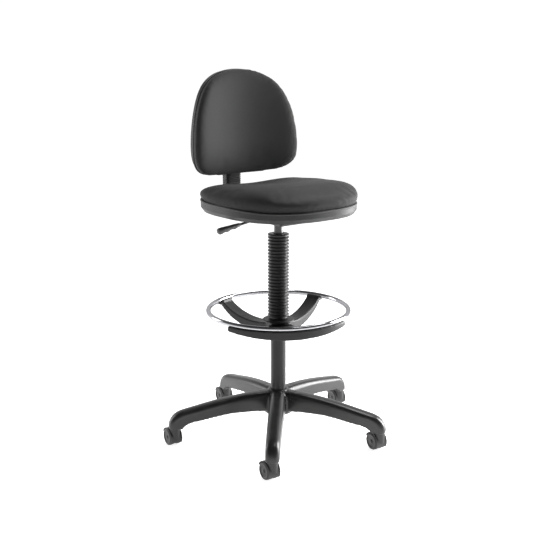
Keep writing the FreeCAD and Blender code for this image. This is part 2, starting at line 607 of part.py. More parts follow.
def lever_pieces():
    """Level inner end over the valve pin, pivot eye, then the rod sloping down to the grip."""
    r = LEVER_ROD_DIAMETER / 2
    z = LEVER_PIVOT_Z
    slope = V(-math.cos(math.radians(LEVER_DROOP)), 0, -math.sin(math.radians(LEVER_DROOP)))
    pivot = V(LEVER_PIVOT_X, 0, z)
    rod_length = (LEVER_REACH + LEVER_PIVOT_X) / math.cos(math.radians(LEVER_DROOP)) - 18
    rod = cylinder(r, rod_length, pivot, slope)
    finger_end = 3.0
    finger = block(finger_end - LEVER_PIVOT_X, 8, 4, (LEVER_PIVOT_X + finger_end) / 2, 0, z + 0.2)
    eye = cylinder(6, 12, pivot - V(0, 6, 0), V(0, 1, 0))
    lever = fused([rod, finger, eye])
    lever = lever.cut(cylinder(2.5 + RUNNING_CLEARANCE, 40, pivot - V(0, 20, 0), V(0, 1, 0)))

    grip_length = 84.0
    grip_start = rod_length + 18 - grip_length
    sections = [(0.0, 5.5, 5.2), (0.12, 7.5, 6.0), (0.4, 9.0, 6.2), (0.7, 10.5, 7.0), (0.9, 11.0, 7.8),
                (1.0, 8.0, 5.5)]
    wires = []
    for share, half_wide, half_high in sections:
        along = pivot + slope * (grip_start + share * grip_length)
        ellipse = Part.Ellipse(ORIGIN, max(half_wide, half_high + 0.01), half_high)
        wire = Part.Wire(ellipse.toShape())
        facing = FreeCAD.Rotation(V(0, 1, 0), slope.cross(V(0, 1, 0)), slope, "ZXY")
        wire.Placement = FreeCAD.Placement(along, facing)
        wires.append(wire)
    grip = Part.makeLoft(wires, True, False)
    grip = grip.cut(cylinder(r, rod_length, pivot, slope))
    return {"lever_rod": lever, "lever_grip": grip}


# ---------------------------------------------------------------- back
def back_outline(grow):
    """Domed outline of the back in the XZ plane: wide below the middle, round lower corners."""
    half = BACK_WIDTH / 2 + grow
    low = BACK_BOTTOM_Z - grow
    high = BACK_TOP_Z + grow
    tall = high - low
    right = [(0, low), (0.45 * half, low + 0.006 * tall), (0.78 * half, low + 0.045 * tall),
             (0.95 * half, low + 0.14 * tall), (half, low + 0.29 * tall), (0.97 * half, low + 0.48 * tall),
             (0.875 * half, low + 0.68 * tall), (0.69 * half, low + 0.86 * tall),
             (0.40 * half, low + 0.965 * tall)]
    points = [V(x, 0, z) for x, z in right]
    points.append(V(0, 0, high))
    points += [V(-x, 0, z) for x, z in reversed(right[1:])]
    curve = Part.BSplineCurve()
    curve.interpolate(points, PeriodicFlag=True)
    return Part.Wire(curve.toShape())


def back_panel(grow, front_gap, thickness):
    """Slab of the back's outline, bent round a vertical axis in front of the chair."""
    centre_y = BACK_FRONT_Y - BACK_CURVE_RADIUS
    inner = BACK_CURVE_RADIUS + front_gap
    prism = Part.Face(back_outline(grow)).extrude(V(0, 400, 0))
    height = BACK_TOP_Z - BACK_BOTTOM_Z + 200
    bend = ring(inner + thickness, inner, height, V(0, centre_y, BACK_BOTTOM_Z - 100))
    return prism.common(bend)


def back_pieces():
    rim = 4.0
    cushion = back_panel(0, 0, BACK_CUSHION_THICKNESS)
    board = back_panel(-6, BACK_CUSHION_THICKNESS, BACK_BOARD_THICKNESS)
    spine_top = BAR_TOP_Z + 40
    board_y = BACK_FRONT_Y + BACK_CUSHION_THICKNESS
    spine_depth = SPINE_REAR_Y - board_y
    spine = upright_block(SPINE_WIDTH, spine_depth, spine_top - BACK_BOTTOM_Z, board_y, BACK_BOTTOM_Z, 14)
    spine_hollow = upright_block(SPINE_WIDTH - 2 * rim, spine_depth, spine_top - BACK_BOTTOM_Z,
                                 board_y - rim, BACK_BOTTOM_Z - rim, 11)
    cover = back_panel(-1, BACK_CUSHION_THICKNESS, BACK_SHELL_DEPTH)
    behind_board = back_panel(20, BACK_CUSHION_THICKNESS, 200)
    shell = cover.fuse(spine.common(behind_board)).removeSplitter()
    tray = back_panel(-1 - rim, BACK_CUSHION_THICKNESS - 1, BACK_SHELL_DEPTH - 2)
    shell = shell.cut(tray).cut(spine_hollow)
    mouth = block(BOOT_WIDTH + 8, SPINE_REAR_Y - board_y - rim, 40, 0, (board_y + SPINE_REAR_Y - rim) / 2,
                  BACK_BOTTOM_Z - 20)
    shell = shell.cut(mouth).cut(board)
    knob_z = (BACK_BOTTOM_Z + BAR_TOP_Z) / 2 + 20
    backward = V(0, 1, 0)
    shell = shell.cut(cylinder(6, 3 * rim, V(0, SPINE_REAR_Y - 2 * rim, knob_z), backward))

    bracket_height = 80.0
    bracket_front = board_y + BACK_BOARD_THICKNESS
    bracket_depth = SPINE_REAR_Y - rim - 4 - bracket_front
    bracket = block(BAR_WIDTH + 16, bracket_depth, bracket_height, 0, bracket_front + bracket_depth / 2,
                    knob_z - bracket_height / 2)
    passage = block(BAR_WIDTH + 2 * BAR_CLEARANCE, BAR_THICKNESS + 2 * BAR_CLEARANCE, 2 * bracket_height,
                    0, BAR_Y, knob_z - bracket_height)
    bracket = bracket.cut(passage)
    bracket = bracket.cut(cylinder(4 + RUNNING_CLEARANCE, 30, V(0, BAR_Y, knob_z), backward))
    screw_from = BAR_Y + BAR_THICKNESS / 2 + 0.3
    knob = clamp_knob(V(0, screw_from, knob_z), backward, SPINE_REAR_Y + 2 - screw_from)
    return {"back_cushion": cushion, "back_board": board, "back_shell": shell, "back_bracket": bracket,
            "height_knob": knob}


def upright_block(width, depth, height, front_y, bottom_z, radius):
    """Block with its two rear upright edges and its top rear edge rounded."""
    body = block(width, depth, height, 0, front_y + depth / 2, bottom_z)
    rear = front_y + depth
    edges = []
    for edge in body.Edges:
        middle = edge.valueAt((edge.FirstParameter + edge.LastParameter) / 2)
        if middle.y > rear - 0.1 and middle.z > bottom_z + 0.1:
            edges.append(edge)
    return body.makeFillet(radius, edges)


def clamp_knob(tip, direction, screw_length):
    """Clamping screw from tip along direction, with a fluted knob on its end."""
    grip = turned([(0, 0), (9, 0), (10, 4), (17, 8), (18, 11), (18, 19), (16, 22), (0, 23)])
    for number in range(6):
        grip = grip.cut(spun(cylinder(4, 30, V(20, 0, 5)), 60 * number))
    grip.Placement = FreeCAD.Placement(tip + direction * screw_length, FreeCAD.Rotation(UP, direction))
    return fused([cylinder(4, screw_length + 2, tip, direction), grip])


def back_bar():
    """Flat bar: level under the seat, a bend behind it, then upright behind the back."""
    t = BAR_THICKNESS
    bend = 30.0
    y_out = BAR_Y + t / 2
    y_in = BAR_Y - t / 2
    start = HOUSING_LENGTH / 2 + 5
    z0 = BAR_Z
    half = math.sqrt(0.5)
    centre = V(0, y_out - bend, z0 + bend)
    inner = bend - t
    edges = [
        Part.makeLine(V(0, start, z0), V(0, y_out - bend, z0)),
        Part.Arc(V(0, y_out - bend, z0), centre + V(0, bend * half, -bend * half),
                 V(0, y_out, z0 + bend)).toShape(),
        Part.makeLine(V(0, y_out, z0 + bend), V(0, y_out, BAR_TOP_Z)),
        Part.makeLine(V(0, y_out, BAR_TOP_Z), V(0, y_in, BAR_TOP_Z)),
        Part.makeLine(V(0, y_in, BAR_TOP_Z), V(0, y_in, z0 + bend)),
        Part.Arc(V(0, y_in, z0 + bend), centre + V(0, inner * half, -inner * half),
                 V(0, y_out - bend, z0 + t)).toShape(),
        Part.makeLine(V(0, y_out - bend, z0 + t), V(0, start, z0 + t)),
        Part.makeLine(V(0, start, z0 + t), V(0, start, z0)),
    ]
    bar = Part.Face(Part.Wire(edges)).extrude(V(BAR_WIDTH, 0, 0))
    return shifted(bar, -BAR_WIDTH / 2)


def bar_boot():
    """Ribbed rubber boot round the upright, from behind the seat into the back shell."""
    top = BACK_BOTTOM_Z + 14
    ribs = 11
    pitch = (top - BOOT_BOTTOM_Z) / ribs
    core = block(BOOT_WIDTH - 4, BOOT_DEPTH - 4, top - BOOT_BOTTOM_Z, 0, BAR_Y, BOOT_BOTTOM_Z)
    pieces = [core]
    for number in range(ribs):
        rib = block(BOOT_WIDTH, BOOT_DEPTH, 0.55 * pitch, 0, BAR_Y, BOOT_BOTTOM_Z + pitch * (number + 0.2))
        pieces.append(rib.makeFillet(5, upright_edges(rib)))
    passage = block(BAR_WIDTH, BAR_THICKNESS, 3 * (top - BOOT_BOTTOM_Z), 0, BAR_Y, BOOT_BOTTOM_Z - 20)
    return fused(pieces).cut(passage)


def bar_sleeve():
    """Steel sleeve behind the mechanism that holds the level part of the bar, and its clamping knob."""
    low = BAR_Z - BAR_CLEARANCE - SHEET
    high = SHELL_BOTTOM_Z
    length = DEPTH_TRAVEL + SLEEVE_HOLD
    front = HOUSING_LENGTH / 2
    inside = BAR_WIDTH + 2 * BAR_CLEARANCE
    sleeve = block(inside + 2 * SHEET, length, high - low, 0, front + length / 2, low)
    sleeve = sleeve.cut(block(inside, length + 2, BAR_THICKNESS + 2 * BAR_CLEARANCE,
                              0, front + length / 2, BAR_Z - BAR_CLEARANCE))
    screw_y = front + length / 2
    sleeve = sleeve.cut(cylinder(4 + RUNNING_CLEARANCE, 2 * SHEET, V(0, screw_y, low - SHEET / 2)))
    knob = clamp_knob(V(0, screw_y, BAR_Z - 0.3), V(0, 0, -1), 12)
    return {"bar_sleeve": sleeve, "depth_knob": knob}


def all_pieces():
    pieces = {"star_base": star_base(), "bellows": bellows(), "foot_ring": foot_ring(),
              "ring_spider": ring_spider(), "back_bar": back_bar(), "bar_boot": bar_boot()}
    for made in (gas_lift(), ring_clips(), ring_clamp(), seat_pieces(), mechanism(), lever_pieces(),
                 back_pieces(), bar_sleeve()):
        pieces.update(made)
    caster = caster_pieces()
    for number in range(ARM_COUNT):
        place = polar(CASTER_CIRCLE_RADIUS, FIRST_ARM_ANGLE + number * 360.0 / ARM_COUNT)
        for name, shape in caster.items():
            turned_shape = spun(shape, CASTER_HEADING)
            pieces["caster_%d_%s" % (number + 1, name)] = shifted(turned_shape, place.x, place.y)
    return pieces


if __name__ == "__main__":
    os.makedirs("parts", exist_ok=True)
    for piece_name, piece in all_pieces().items():
        save(piece_name, piece)
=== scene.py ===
# %% [markdown]
# # A drafting chair, dressed for the camera
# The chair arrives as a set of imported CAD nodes, each riding on a moving body. This lesson gives
# every node a real finish and rebuilds the pieces that a CAD solid can't show well: the two
# cushions, the moulded base, the corrugated cover, the footrest spider, the rubber boot and the
# lever grip. Piping round both cushions and caps on the castor wheels are added. Places and sizes
# come from the CAD nodes wherever they can, so each new piece sits where its solid sat.

# %% Load the frame
import json
import math

import bmesh
import bpy
import numpy as np
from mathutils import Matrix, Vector


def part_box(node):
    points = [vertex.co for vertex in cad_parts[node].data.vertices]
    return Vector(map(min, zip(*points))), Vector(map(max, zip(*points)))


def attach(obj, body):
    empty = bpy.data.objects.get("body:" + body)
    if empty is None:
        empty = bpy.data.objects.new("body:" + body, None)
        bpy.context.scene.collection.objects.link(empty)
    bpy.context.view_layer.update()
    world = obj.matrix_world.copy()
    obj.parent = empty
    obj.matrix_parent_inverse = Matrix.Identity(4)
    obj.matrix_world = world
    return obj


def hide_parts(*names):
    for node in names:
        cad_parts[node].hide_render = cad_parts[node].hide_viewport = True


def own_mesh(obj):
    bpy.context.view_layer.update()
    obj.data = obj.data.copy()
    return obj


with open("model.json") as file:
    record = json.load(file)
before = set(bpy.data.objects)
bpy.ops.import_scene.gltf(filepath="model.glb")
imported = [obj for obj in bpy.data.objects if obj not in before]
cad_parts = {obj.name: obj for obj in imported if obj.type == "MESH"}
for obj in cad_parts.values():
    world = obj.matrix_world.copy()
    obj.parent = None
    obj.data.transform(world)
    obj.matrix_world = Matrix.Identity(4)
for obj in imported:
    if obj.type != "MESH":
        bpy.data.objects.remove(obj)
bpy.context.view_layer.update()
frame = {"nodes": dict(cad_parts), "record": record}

nodes = frame["nodes"]

# %% [markdown]
# The camera comes first, because everything else is judged through it. It stands at the sitter's
# front right, a little above the seat, with a long lens, so that verticals stay almost parallel.

# %% Camera
CAMERA_PLACE = (-1.8136, -2.3041, 1.2457)
CAMERA_TILT = 13.64     # degrees below level
CAMERA_TURN = 38.0      # degrees round from the chair's front
CAMERA_LENS = 63.24
camera_data = bpy.data.cameras.new("studio_camera")
camera = bpy.data.objects.new("studio_camera", camera_data)
bpy.context.scene.collection.objects.link(camera)
camera.location = CAMERA_PLACE
camera.rotation_euler = (math.radians(90.0 - CAMERA_TILT), 0.0, -math.radians(CAMERA_TURN))
camera_data.lens = CAMERA_LENS
camera_data.sensor_width = 36.0
camera_data.clip_start = 0.05
camera_data.clip_end = 200.0
bpy.context.scene.camera = camera
print("camera distance from the column", round(Vector(camera.location[:2]).length, 3), "m")

# %% [markdown]
# ## Node helpers
# Every finish here is a small network of shader nodes. Typing each link by hand is slow to read,
# so a little class adds a node, fills its inputs and hands back its output. An input may be a
# number or another node's output; the class joins whichever it is given.


# %% Node helper
class Wiring:
    """Adds nodes to one tree and joins them."""

    def __init__(self, tree):
        self.tree = tree
        self.column = 0

    def put(self, kind, out=0, settings=None, **inputs):
        node = self.tree.nodes.new(kind)
        node.location = (self.column * 180, -(self.column % 5) * 160)
        self.column += 1
        for name, value in (settings or {}).items():
            setattr(node, name, value)
        for name, value in inputs.items():
            self.feed(node, name, value)
        return node.outputs[out]

    def feed(self, node, name, value):
        socket = node.inputs[int(name[1:])] if name[1:].isdigit() else node.inputs[name.replace("_", " ")]
        if isinstance(value, bpy.types.NodeSocket):
            self.tree.links.new(value, socket)
        else:
            socket.default_value = value

    def sum(self, operation, a, b=0.0, c=0.0, clamp=False):
        return self.put("ShaderNodeMath", settings={"operation": operation, "use_clamp": clamp},
                        i0=a, i1=b, i2=c)

    def colour(self, share, dark, light):
        return self.put("ShaderNodeMix", out=2, settings={"data_type": "RGBA"}, i0=share, i6=dark, i7=light)

    def spread(self, value, low, high, to_low=0.0, to_high=1.0):
        return self.put("ShaderNodeMapRange", Value=value, From_Min=low, From_Max=high,
                        To_Min=to_low, To_Max=to_high)

    def noise(self, vector, scale, detail=3.0, roughness=0.5):
        return self.put("ShaderNodeTexNoise", Vector=vector, Scale=scale, Detail=detail, Roughness=roughness)


def new_group(name, inputs, outputs):
    """An empty shader group with named sockets; returns it with its wiring and input node."""
    tree = bpy.data.node_groups.new(name, "ShaderNodeTree")
    for socket_name, kind, value in inputs:
        socket = tree.interface.new_socket(socket_name, in_out="INPUT", socket_type=kind)
        if value is not None:
            socket.default_value = value
    for socket_name, kind in outputs:
        tree.interface.new_socket(socket_name, in_out="OUTPUT", socket_type=kind)
    wires = Wiring(tree)
    given = tree.nodes.new("NodeGroupInput")
    result = tree.nodes.new("NodeGroupOutput")
    return tree, wires, given.outputs, result


FLOAT = "NodeSocketFloat"

# %% [markdown]
# ## Weave
# Chair fabric is a tight crepe: two sets of yarn over and under each other, with yarns that vary
# in thickness. A pattern laid out with UVs would be lost when a cushion is remeshed, so the weave
# is worked out from the position in space instead, three times, once for each pair of axes, and
# the surface's own direction decides which of the three shows.


# %% Weave group
def build_weave():
    tree, w, given, result = new_group(
        "weave", [("Yarns per metre", FLOAT, 700.0)],
        [("Height", FLOAT), ("Tone", FLOAT)])
    place = w.put("ShaderNodeTexCoord", out="Object")
    wobble = w.put("ShaderNodeTexNoise", out="Color", Vector=place, Scale=160.0, Detail=2.0)
    bent = w.put("ShaderNodeVectorMath", settings={"operation": "MULTIPLY_ADD"},
                 i0=wobble, i1=(0.0016, 0.0016, 0.0016), i2=place)
    parts = w.put("ShaderNodeSeparateXYZ", Vector=bent).node.outputs
    turn = w.sum("MULTIPLY", given["Yarns per metre"], math.pi)
    waves = [w.sum("SINE", w.sum("MULTIPLY", parts[axis], turn)) for axis in range(3)]
    normal = w.put("ShaderNodeNewGeometry", out="Normal")
    facing = w.put("ShaderNodeSeparateXYZ", Vector=normal).node.outputs
    weights = [w.sum("POWER", w.sum("ABSOLUTE", facing[axis]), 6.0) for axis in range(3)]
    total = w.sum("ADD", w.sum("ADD", weights[0], weights[1]), weights[2])
    height = 0.0
    for axis in range(3):
        first, second = waves[(axis + 1) % 3], waves[(axis + 2) % 3]
        crossing = w.sum("MULTIPLY", first, second)
        share = w.sum("DIVIDE", weights[axis], total)
        height = w.sum("ADD", height, w.sum("MULTIPLY", crossing, share))
    yarn = w.noise(place, 420.0, 2.0)
    raised = w.sum("ADD", w.sum("MULTIPLY", height, 0.5), yarn)
    slub = w.noise(place, 24.0, 4.0, 0.6)
    # Painted shade: the tone is darker where the weave lies low between the yarns and lighter on raised
    # yarn. It is mixed with random slub tone.
    yarn_tone_and_shade = w.sum("ADD", w.sum("MULTIPLY", raised, 0.55), w.sum("MULTIPLY", slub, 0.45), clamp=True)
    tree.links.new(raised, result.inputs["Height"])
    tree.links.new(yarn_tone_and_shade, result.inputs["Tone"])
    return tree


weave_group = build_weave()
print("weave group has", len(weave_group.nodes), "nodes")

# %% [markdown]
# ## Grain
# Moulded nylon and powder coat both have a fine pebble, with a slower unevenness in gloss. One
# group gives both at once; each material says how many pebbles fit in a metre.


# %% Grain group
def build_grain():
    tree, w, given, result = new_group(
        "grain", [("Pebbles per metre", FLOAT, 900.0), ("Cloud size", FLOAT, 9.0)],
        [("Height", FLOAT), ("Tone", FLOAT)])
    place = w.put("ShaderNodeTexCoord", out="Object")
    pebble = w.put("ShaderNodeTexVoronoi", out="Distance", Vector=place, Scale=given["Pebbles per metre"])
    fine = w.noise(place, w.sum("MULTIPLY", given["Pebbles per metre"], 0.5), 2.0)
    height = w.sum("ADD", w.sum("MULTIPLY", pebble, 0.6), w.sum("MULTIPLY", fine, 0.4))
    cloud = w.noise(place, given["Cloud size"], 5.0, 0.6)
    tree.links.new(height, result.inputs["Height"])
    tree.links.new(w.spread(cloud, 0.3, 0.7), result.inputs["Tone"])
    return tree


grain_group = build_grain()

# %% [markdown]
# ## Dust
# A used chair gathers a thin film of dust on what faces up, thicker where the air is still. The
# group multiplies how far the surface faces up by a patchy noise.


# %% Dust group
def build_dust():
    tree, w, given, result = new_group("dust", [("Amount", FLOAT, 0.3)], [("Mask", FLOAT)])
    place = w.put("ShaderNodeTexCoord", out="Object")
    normal = w.put("ShaderNodeNewGeometry", out="Normal")
    up = w.put("ShaderNodeSeparateXYZ", Vector=normal).node.outputs[2]
    lying = w.spread(up, 0.35, 1.0)
    patches = w.spread(w.noise(place, 38.0, 6.0, 0.62), 0.42, 0.72)
    mask = w.sum("MULTIPLY", w.sum("MULTIPLY", lying, patches), given["Amount"], clamp=True)
    tree.links.new(mask, result.inputs["Mask"])
    return tree


dust_group = build_dust()

# %% [markdown]
# ## Scuffs
# Feet, floors and door frames leave short pale rubs on castors, base and footrest. A stretched
# noise, cut hard near its top, leaves a few streaks and nothing between them.


# %% Scuff group
def build_scuffs():
    tree, w, given, result = new_group(
        "scuffs", [("Amount", FLOAT, 0.4), ("Streak size", FLOAT, 30.0)], [("Mask", FLOAT)])
    place = w.put("ShaderNodeTexCoord", out="Object")
    drawn = w.put("ShaderNodeVectorMath", settings={"operation": "MULTIPLY"}, i0=place, i1=(1.0, 1.0, 4.0))
    streak = w.noise(drawn, given["Streak size"], 8.0, 0.72)
    broken = w.noise(place, 300.0, 3.0)
    cut = w.spread(w.sum("MULTIPLY_ADD", broken, 0.08, streak), 0.64, 0.74)
    tree.links.new(w.sum("MULTIPLY", cut, given["Amount"], clamp=True), result.inputs["Mask"])
    return tree


scuff_group = build_scuffs()

# %% [markdown]
# ## Finishes
# One function makes a moulded or coated finish out of these groups, because the chair has many
# of them and they differ only in their numbers. Sheen, coat and the like are set straight on the
# shader, since they are the same all over.


# %% Finish maker
def grey(level, warmth=0.0):
    return (level * (1 + warmth), level, level * (1 - warmth), 1.0)


def begin(name):
    material = bpy.data.materials.new(name)
    material.use_nodes = True
    tree = material.node_tree
    shader = tree.nodes["Principled BSDF"]
    return material, Wiring(tree), shader


def use_group(w, group, **values):
    """Places a group in the material and returns its outputs."""
    node = w.tree.nodes.new("ShaderNodeGroup")
    node.node_tree = group
    node.location = (w.column * 180, 300)
    w.column += 1
    for name, value in values.items():
        w.feed(node, name, value)
    return node.outputs


def moulded(name, dark, light, rough, pebbles=900.0, bump=0.05, dust=0.15, scuffs=0.0,
            coat=0.0, specular=0.5):
    """A plastic, rubber or coated metal: fine pebble, uneven gloss, dust and a few rubs."""
    material, w, shader = begin(name)
    grain = use_group(w, grain_group, Pebbles_per_metre=pebbles)
    film = use_group(w, dust_group, Amount=dust)["Mask"]
    rubs = use_group(w, scuff_group, Amount=scuffs)["Mask"]
    base = w.colour(grain["Tone"], grey(dark), grey(light))
    worn = w.colour(rubs, base, grey(light * 2.6))
    dusty = w.colour(film, worn, grey(0.16, 0.03))
    gloss = w.spread(grain["Tone"], 0.0, 1.0, rough * 0.9, rough * 1.12)
    gloss = w.sum("MAXIMUM", gloss, w.sum("MULTIPLY", film, 0.8))
    bumped = w.put("ShaderNodeBump", out="Normal", Strength=bump, Distance=0.0004, Height=grain["Height"])
    w.feed(shader, "Base Color", dusty)
    w.feed(shader, "Roughness", gloss)
    w.feed(shader, "Normal", bumped)
    shader.inputs["Coat Weight"].default_value = coat
    shader.inputs["Coat Roughness"].default_value = 0.25
    shader.inputs["Specular IOR Level"].default_value = specular
    return material


# %% [markdown]
# Chrome and zinc are metals with a nearly even colour; what tells them apart is how sharp the
# reflections are. Chrome keeps a low roughness with faint wiping marks, zinc has a brushed cloud.


# %% Metal maker
def metal(name, colour, rough_low, rough_high, streaks, bump):
    material, w, shader = begin(name)
    place = w.put("ShaderNodeTexCoord", out="Object")
    wiped = w.noise(place, streaks, 6.0, 0.65)
    film = use_group(w, dust_group, Amount=0.10)["Mask"]
    tint = w.colour(w.spread(wiped, 0.35, 0.65), colour, tuple(c * 0.9 for c in colour[:3]) + (1.0,))
    w.feed(shader, "Base Color", w.colour(film, tint, grey(0.4)))
    gloss = w.spread(wiped, 0.3, 0.7, rough_low, rough_high)
    w.feed(shader, "Roughness", w.sum("MAXIMUM", gloss, w.sum("MULTIPLY", film, 0.6)))
    bumped = w.put("ShaderNodeBump", out="Normal", Strength=bump, Distance=0.0002, Height=wiped)
    w.feed(shader, "Normal", bumped)
    shader.inputs["Metallic"].default_value = 1.0
    shader.inputs["Specular Tint"].default_value = (0.55, 0.55, 0.56, 1.0)
    return material


# %% [markdown]
# The fabric is a charcoal crepe with a little nap. The nap is the shader's sheen; the weave gives
# both the bump and a slight mottling, which is random yarn tone with painted shade between the raised
# yarns, and the yarn is rougher than any plastic here. The plywood boards are built up from stretched
# noise, in a material of their own.


# %% Fabric and plywood
def fabric(name):
    material, w, shader = begin(name)
    weave = use_group(w, weave_group, Yarns_per_metre=650.0)
    film = use_group(w, dust_group, Amount=0.06)["Mask"]
    # Painted shade: the yarn colour is darker between the raised yarns and lighter on them. The slub part is
    # random yarn tone.
    yarn = w.colour(weave["Tone"], grey(0.014), grey(0.027))
    w.feed(shader, "Base Color", w.colour(film, yarn, grey(0.12, 0.03)))
    w.feed(shader, "Roughness", w.spread(weave["Tone"], 0.0, 1.0, 0.62, 0.78))
    w.feed(shader, "Normal", w.put("ShaderNodeBump", out="Normal", Strength=0.35, Distance=0.0004,
                                   Height=weave["Height"]))
    shader.inputs["Sheen Weight"].default_value = 0.03
    shader.inputs["Sheen Roughness"].default_value = 0.45
    shader.inputs["Specular IOR Level"].default_value = 0.18
    return material


def plywood(name):
    material, w, shader = begin(name)
    place = w.put("ShaderNodeTexCoord", out="Object")
    drawn = w.put("ShaderNodeVectorMath", settings={"operation": "MULTIPLY"}, i0=place, i1=(1.0, 9.0, 60.0))
    rings = w.noise(drawn, 9.0, 6.0, 0.6)
    pores = w.noise(drawn, 240.0, 2.0)
    grown = w.spread(rings, 0.35, 0.65)
    w.feed(shader, "Base Color", w.colour(grown, (0.42, 0.28, 0.15, 1), (0.62, 0.46, 0.28, 1)))
    w.feed(shader, "Roughness", w.spread(pores, 0.3, 0.7, 0.55, 0.75))
    bumped = w.put("ShaderNodeBump", out="Normal", Strength=0.2, Distance=0.0005, Height=pores)
    w.feed(shader, "Normal", bumped)
    return material


# %% The chair's sixteen finishes
finishes = {
    "base_nylon": moulded("base_nylon", 0.012, 0.017, 0.30, 1100, 0.05, dust=0.06, scuffs=0.15),
    "column_paint": moulded("column_paint", 0.010, 0.014, 0.42, 1500, 0.06, dust=0.03, specular=0.35),
    "bearing_plastic": moulded("bearing_plastic", 0.05, 0.07, 0.45, 900, 0.05),
    "steel": metal("steel", (0.58, 0.59, 0.60, 1), 0.24, 0.42, 60.0, 0.08),
    "bellows_plastic": moulded("bellows_plastic", 0.010, 0.015, 0.34, 1200, 0.04, dust=0.05),
    "cylinder_black": moulded("cylinder_black", 0.028, 0.040, 0.26, 1400, 0.02, dust=0.0, coat=0.3),
    "mechanism_paint": moulded("mechanism_paint", 0.012, 0.018, 0.38, 1300, 0.05),
    "grip_plastic": moulded("grip_plastic", 0.034, 0.046, 0.36, 1000, 0.06),
    "shell_plastic": moulded("shell_plastic", 0.016, 0.022, 0.46, 800, 0.12, dust=0.03, specular=0.35),
    "plywood": plywood("plywood"),
    "upholstery": fabric("upholstery"),
    "boot_rubber": moulded("boot_rubber", 0.014, 0.020, 0.55, 1400, 0.05, dust=0.10),
    "chrome": metal("chrome", (0.54, 0.54, 0.56, 1), 0.05, 0.13, 90.0, 0.02),
    "spider_nylon": moulded("spider_nylon", 0.008, 0.012, 0.40, 900, 0.10, dust=0.06, scuffs=0.20,
                            specular=0.35),
    "caster_nylon": moulded("caster_nylon", 0.012, 0.018, 0.40, 1000, 0.06, dust=0.08, scuffs=0.25),
    "caster_wheel": moulded("caster_wheel", 0.014, 0.020, 0.42, 1000, 0.06, dust=0.08, scuffs=0.3),
}
slot_of = {row["node"]: row["material_slot"] for row in frame["record"]["subparts"]}


def paint(piece, slot_name):
    piece.data.materials.clear()
    piece.data.materials.append(finishes[slot_name])


for node_name, node_object in nodes.items():
    paint(node_object, slot_of[node_name])
print("painted", len(nodes), "nodes with", len(finishes), "finishes")

# %% [markdown]
# ## Mesh helpers
# A loop of points swept through a list of sections makes most moulded pieces: a boot, a grip, a
# cover. The helper joins section after section with four-sided faces, then closes both ends or
# joins the last section to the first.


# %% Mesh helpers
def add_piece(name, points, faces, body, slot_name):
    """A new smooth mesh with its normals outwards, finished and given to its body."""
    mesh = bpy.data.meshes.new(name)
    mesh.from_pydata([tuple(p) for p in points], [], faces)
    mesh.validate()
    piece = bpy.data.objects.new(name, mesh)
    bpy.context.scene.collection.objects.link(piece)
    flip = bmesh.new()
    flip.from_mesh(mesh)
    bmesh.ops.recalc_face_normals(flip, faces=flip.faces)
    flip.to_mesh(mesh)
    flip.free()
    mesh.polygons.foreach_set("use_smooth", [True] * len(mesh.polygons))
    dress(piece, body, slot_name)
    return piece


def dress(piece, body, slot_name):
    """Finish, material slot and body of a new piece."""
    paint(piece, slot_name)
    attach(piece, body)


def sweep_faces(sections, around, closed_loop=False):
    """Faces of a tube of sections with the same number of points around; its ends are closed."""
    faces = []
    last = sections if closed_loop else sections - 1
    for row in range(last):
        after = (row + 1) % sections
        for step in range(around):
            following = (step + 1) % around
            faces.append((row * around + step, row * around + following,
                          after * around + following, after * around + step))
    if not closed_loop:
        faces.append(tuple(range(around))[::-1])
        faces.append(tuple(range((sections - 1) * around, sections * around)))
    return faces


def settle(piece, kind, **settings):
    """Adds one modifier and applies it at once."""
    modifier = piece.modifiers.new(kind.lower(), kind)
    for name, value in settings.items():
        setattr(modifier, name, value)
    graph = bpy.context.evaluated_depsgraph_get()
    mesh = bpy.data.meshes.new_from_object(piece.evaluated_get(graph))
    piece.modifiers.clear()
    old = piece.data
    piece.data = mesh
    bpy.data.meshes.remove(old)
    mesh.polygons.foreach_set("use_smooth", [True] * len(mesh.polygons))


def points_of(piece):
    count = len(piece.data.vertices)
    flat = np.empty(count * 3, np.float32)
    piece.data.vertices.foreach_get("co", flat)
    return flat.reshape(-1, 3).astype(float)


def move_points(piece, points):
    piece.data.vertices.foreach_set("co", points.astype(np.float32).ravel())
    piece.data.update()


def relax(piece, rounds, amount=None):
    """Evens out a mesh, point by point, without shrinking it; amount is 0 to 1 for each point."""
    points = points_of(piece)
    edges = np.empty(len(piece.data.edges) * 2, np.int32)
    piece.data.edges.foreach_get("vertices", edges)
    a, b = edges.reshape(-1, 2).T
    links = np.bincount(np.concatenate([a, b]), minlength=len(points))[:, None]
    share = np.ones((len(points), 1)) if amount is None else amount[:, None]
    for turn in range(rounds * 2):
        total = np.zeros_like(points)
        for axis in range(3):
            total[:, axis] = (np.bincount(a, points[b, axis], len(points))
                              + np.bincount(b, points[a, axis], len(points)))
        pull = 0.60 if turn % 2 == 0 else -0.58
        points = points + share * pull * (total / np.maximum(links, 1) - points)
    move_points(piece, points)


def cast_copy(node_name, new_name):
    """A free copy of a CAD node's mesh, to be reshaped."""
    piece = bpy.data.objects.new(new_name, nodes[node_name].data.copy())
    bpy.context.scene.collection.objects.link(piece)
    return piece


# %% [markdown]
# ## The moulded base
# Five arms run into one hub without a crease anywhere: it is a single nylon moulding. Modelling
# those blends by hand is slow, so the CAD solid is turned into an even skin of small squares and
# then relaxed, most near the hub, where the real one has its widest radii.

# %% Base
star = cast_copy("star_base", "base_moulding")
settle(star, "REMESH", mode="VOXEL", voxel_size=0.0024)
points = points_of(star)
reach = np.hypot(points[:, 0], points[:, 1])
near_hub = np.clip((0.115 - reach) / 0.05, 0.0, 1.0)
relax(star, 20)
relax(star, 26, near_hub * (reach > 0.034))
dress(star, "base", "base_nylon")
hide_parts("star_base")
print("base has", len(star.data.polygons), "faces")

# %% [markdown]
# ## The footrest spider
# The spider that carries the chrome ring is moulded too, with a wide front web and two rear arms
# that swell into the hub. It gets the same treatment, with gentler radii.

